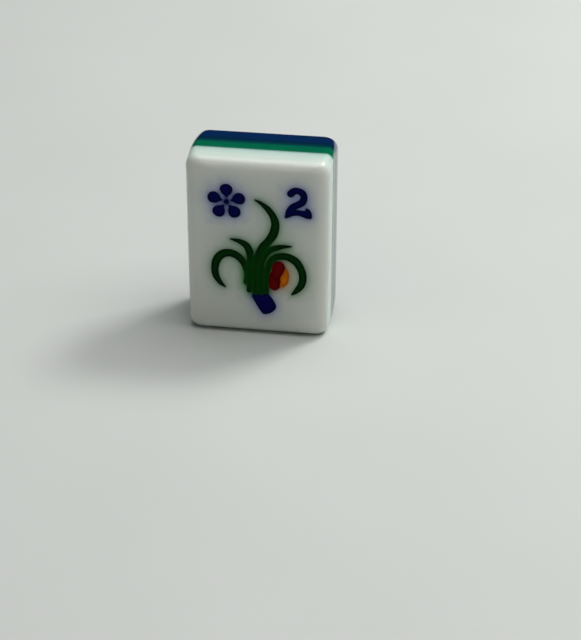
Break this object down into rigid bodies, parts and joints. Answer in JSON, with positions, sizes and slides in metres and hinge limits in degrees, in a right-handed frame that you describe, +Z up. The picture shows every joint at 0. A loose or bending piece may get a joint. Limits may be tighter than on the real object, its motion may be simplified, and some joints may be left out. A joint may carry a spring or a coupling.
{
  "type": "mahjong tile",
  "caption": "Upright laminated game tile with rounded edges: white face, green core and blue back, with an engraved flower spray and numeral filled with lacquer.",
  "frame": {"origin": "centre of the base, on the surface that the upright tile stands on", "axes": "+Z up along the tile's height, +X to the right across the engraved face, +Y from the white engraved face to the blue back"},
  "size_m": [0.0224, 0.0126, 0.03],
  "materials": {
    "white_plastic": "polished, slightly translucent ivory white",
    "green_plastic": "polished translucent green",
    "blue_plastic": "polished translucent cobalt blue",
    "clear_cement": "clear film, polished flush with the sides",
    "blue_lacquer": "glossy dark blue lacquer",
    "green_lacquer": "glossy dark green lacquer",
    "red_lacquer": "glossy red lacquer",
    "orange_lacquer": "glossy orange lacquer"
  },
  "bodies": {
    "root": {"face_block": "white_plastic", "front_bond_film": "clear_cement", "core_block": "green_plastic", "rear_bond_film": "clear_cement", "back_block": "blue_plastic", "numeral_fill": "blue_lacquer", "mark_petal_fills": "blue_lacquer", "mark_centre_fill": "blue_lacquer", "tall_leaf_fill": "green_lacquer", "upper_left_leaf_fill": "green_lacquer", "lower_left_leaf_fill": "green_lacquer", "upper_right_leaf_fill": "green_lacquer", "lower_right_leaf_fill": "green_lacquer", "root_fill": "blue_lacquer", "upper_red_petal_fill": "red_lacquer", "lower_red_petal_fill": "red_lacquer", "orange_petal_fill": "orange_lacquer"}
  },
  "joints": []
}
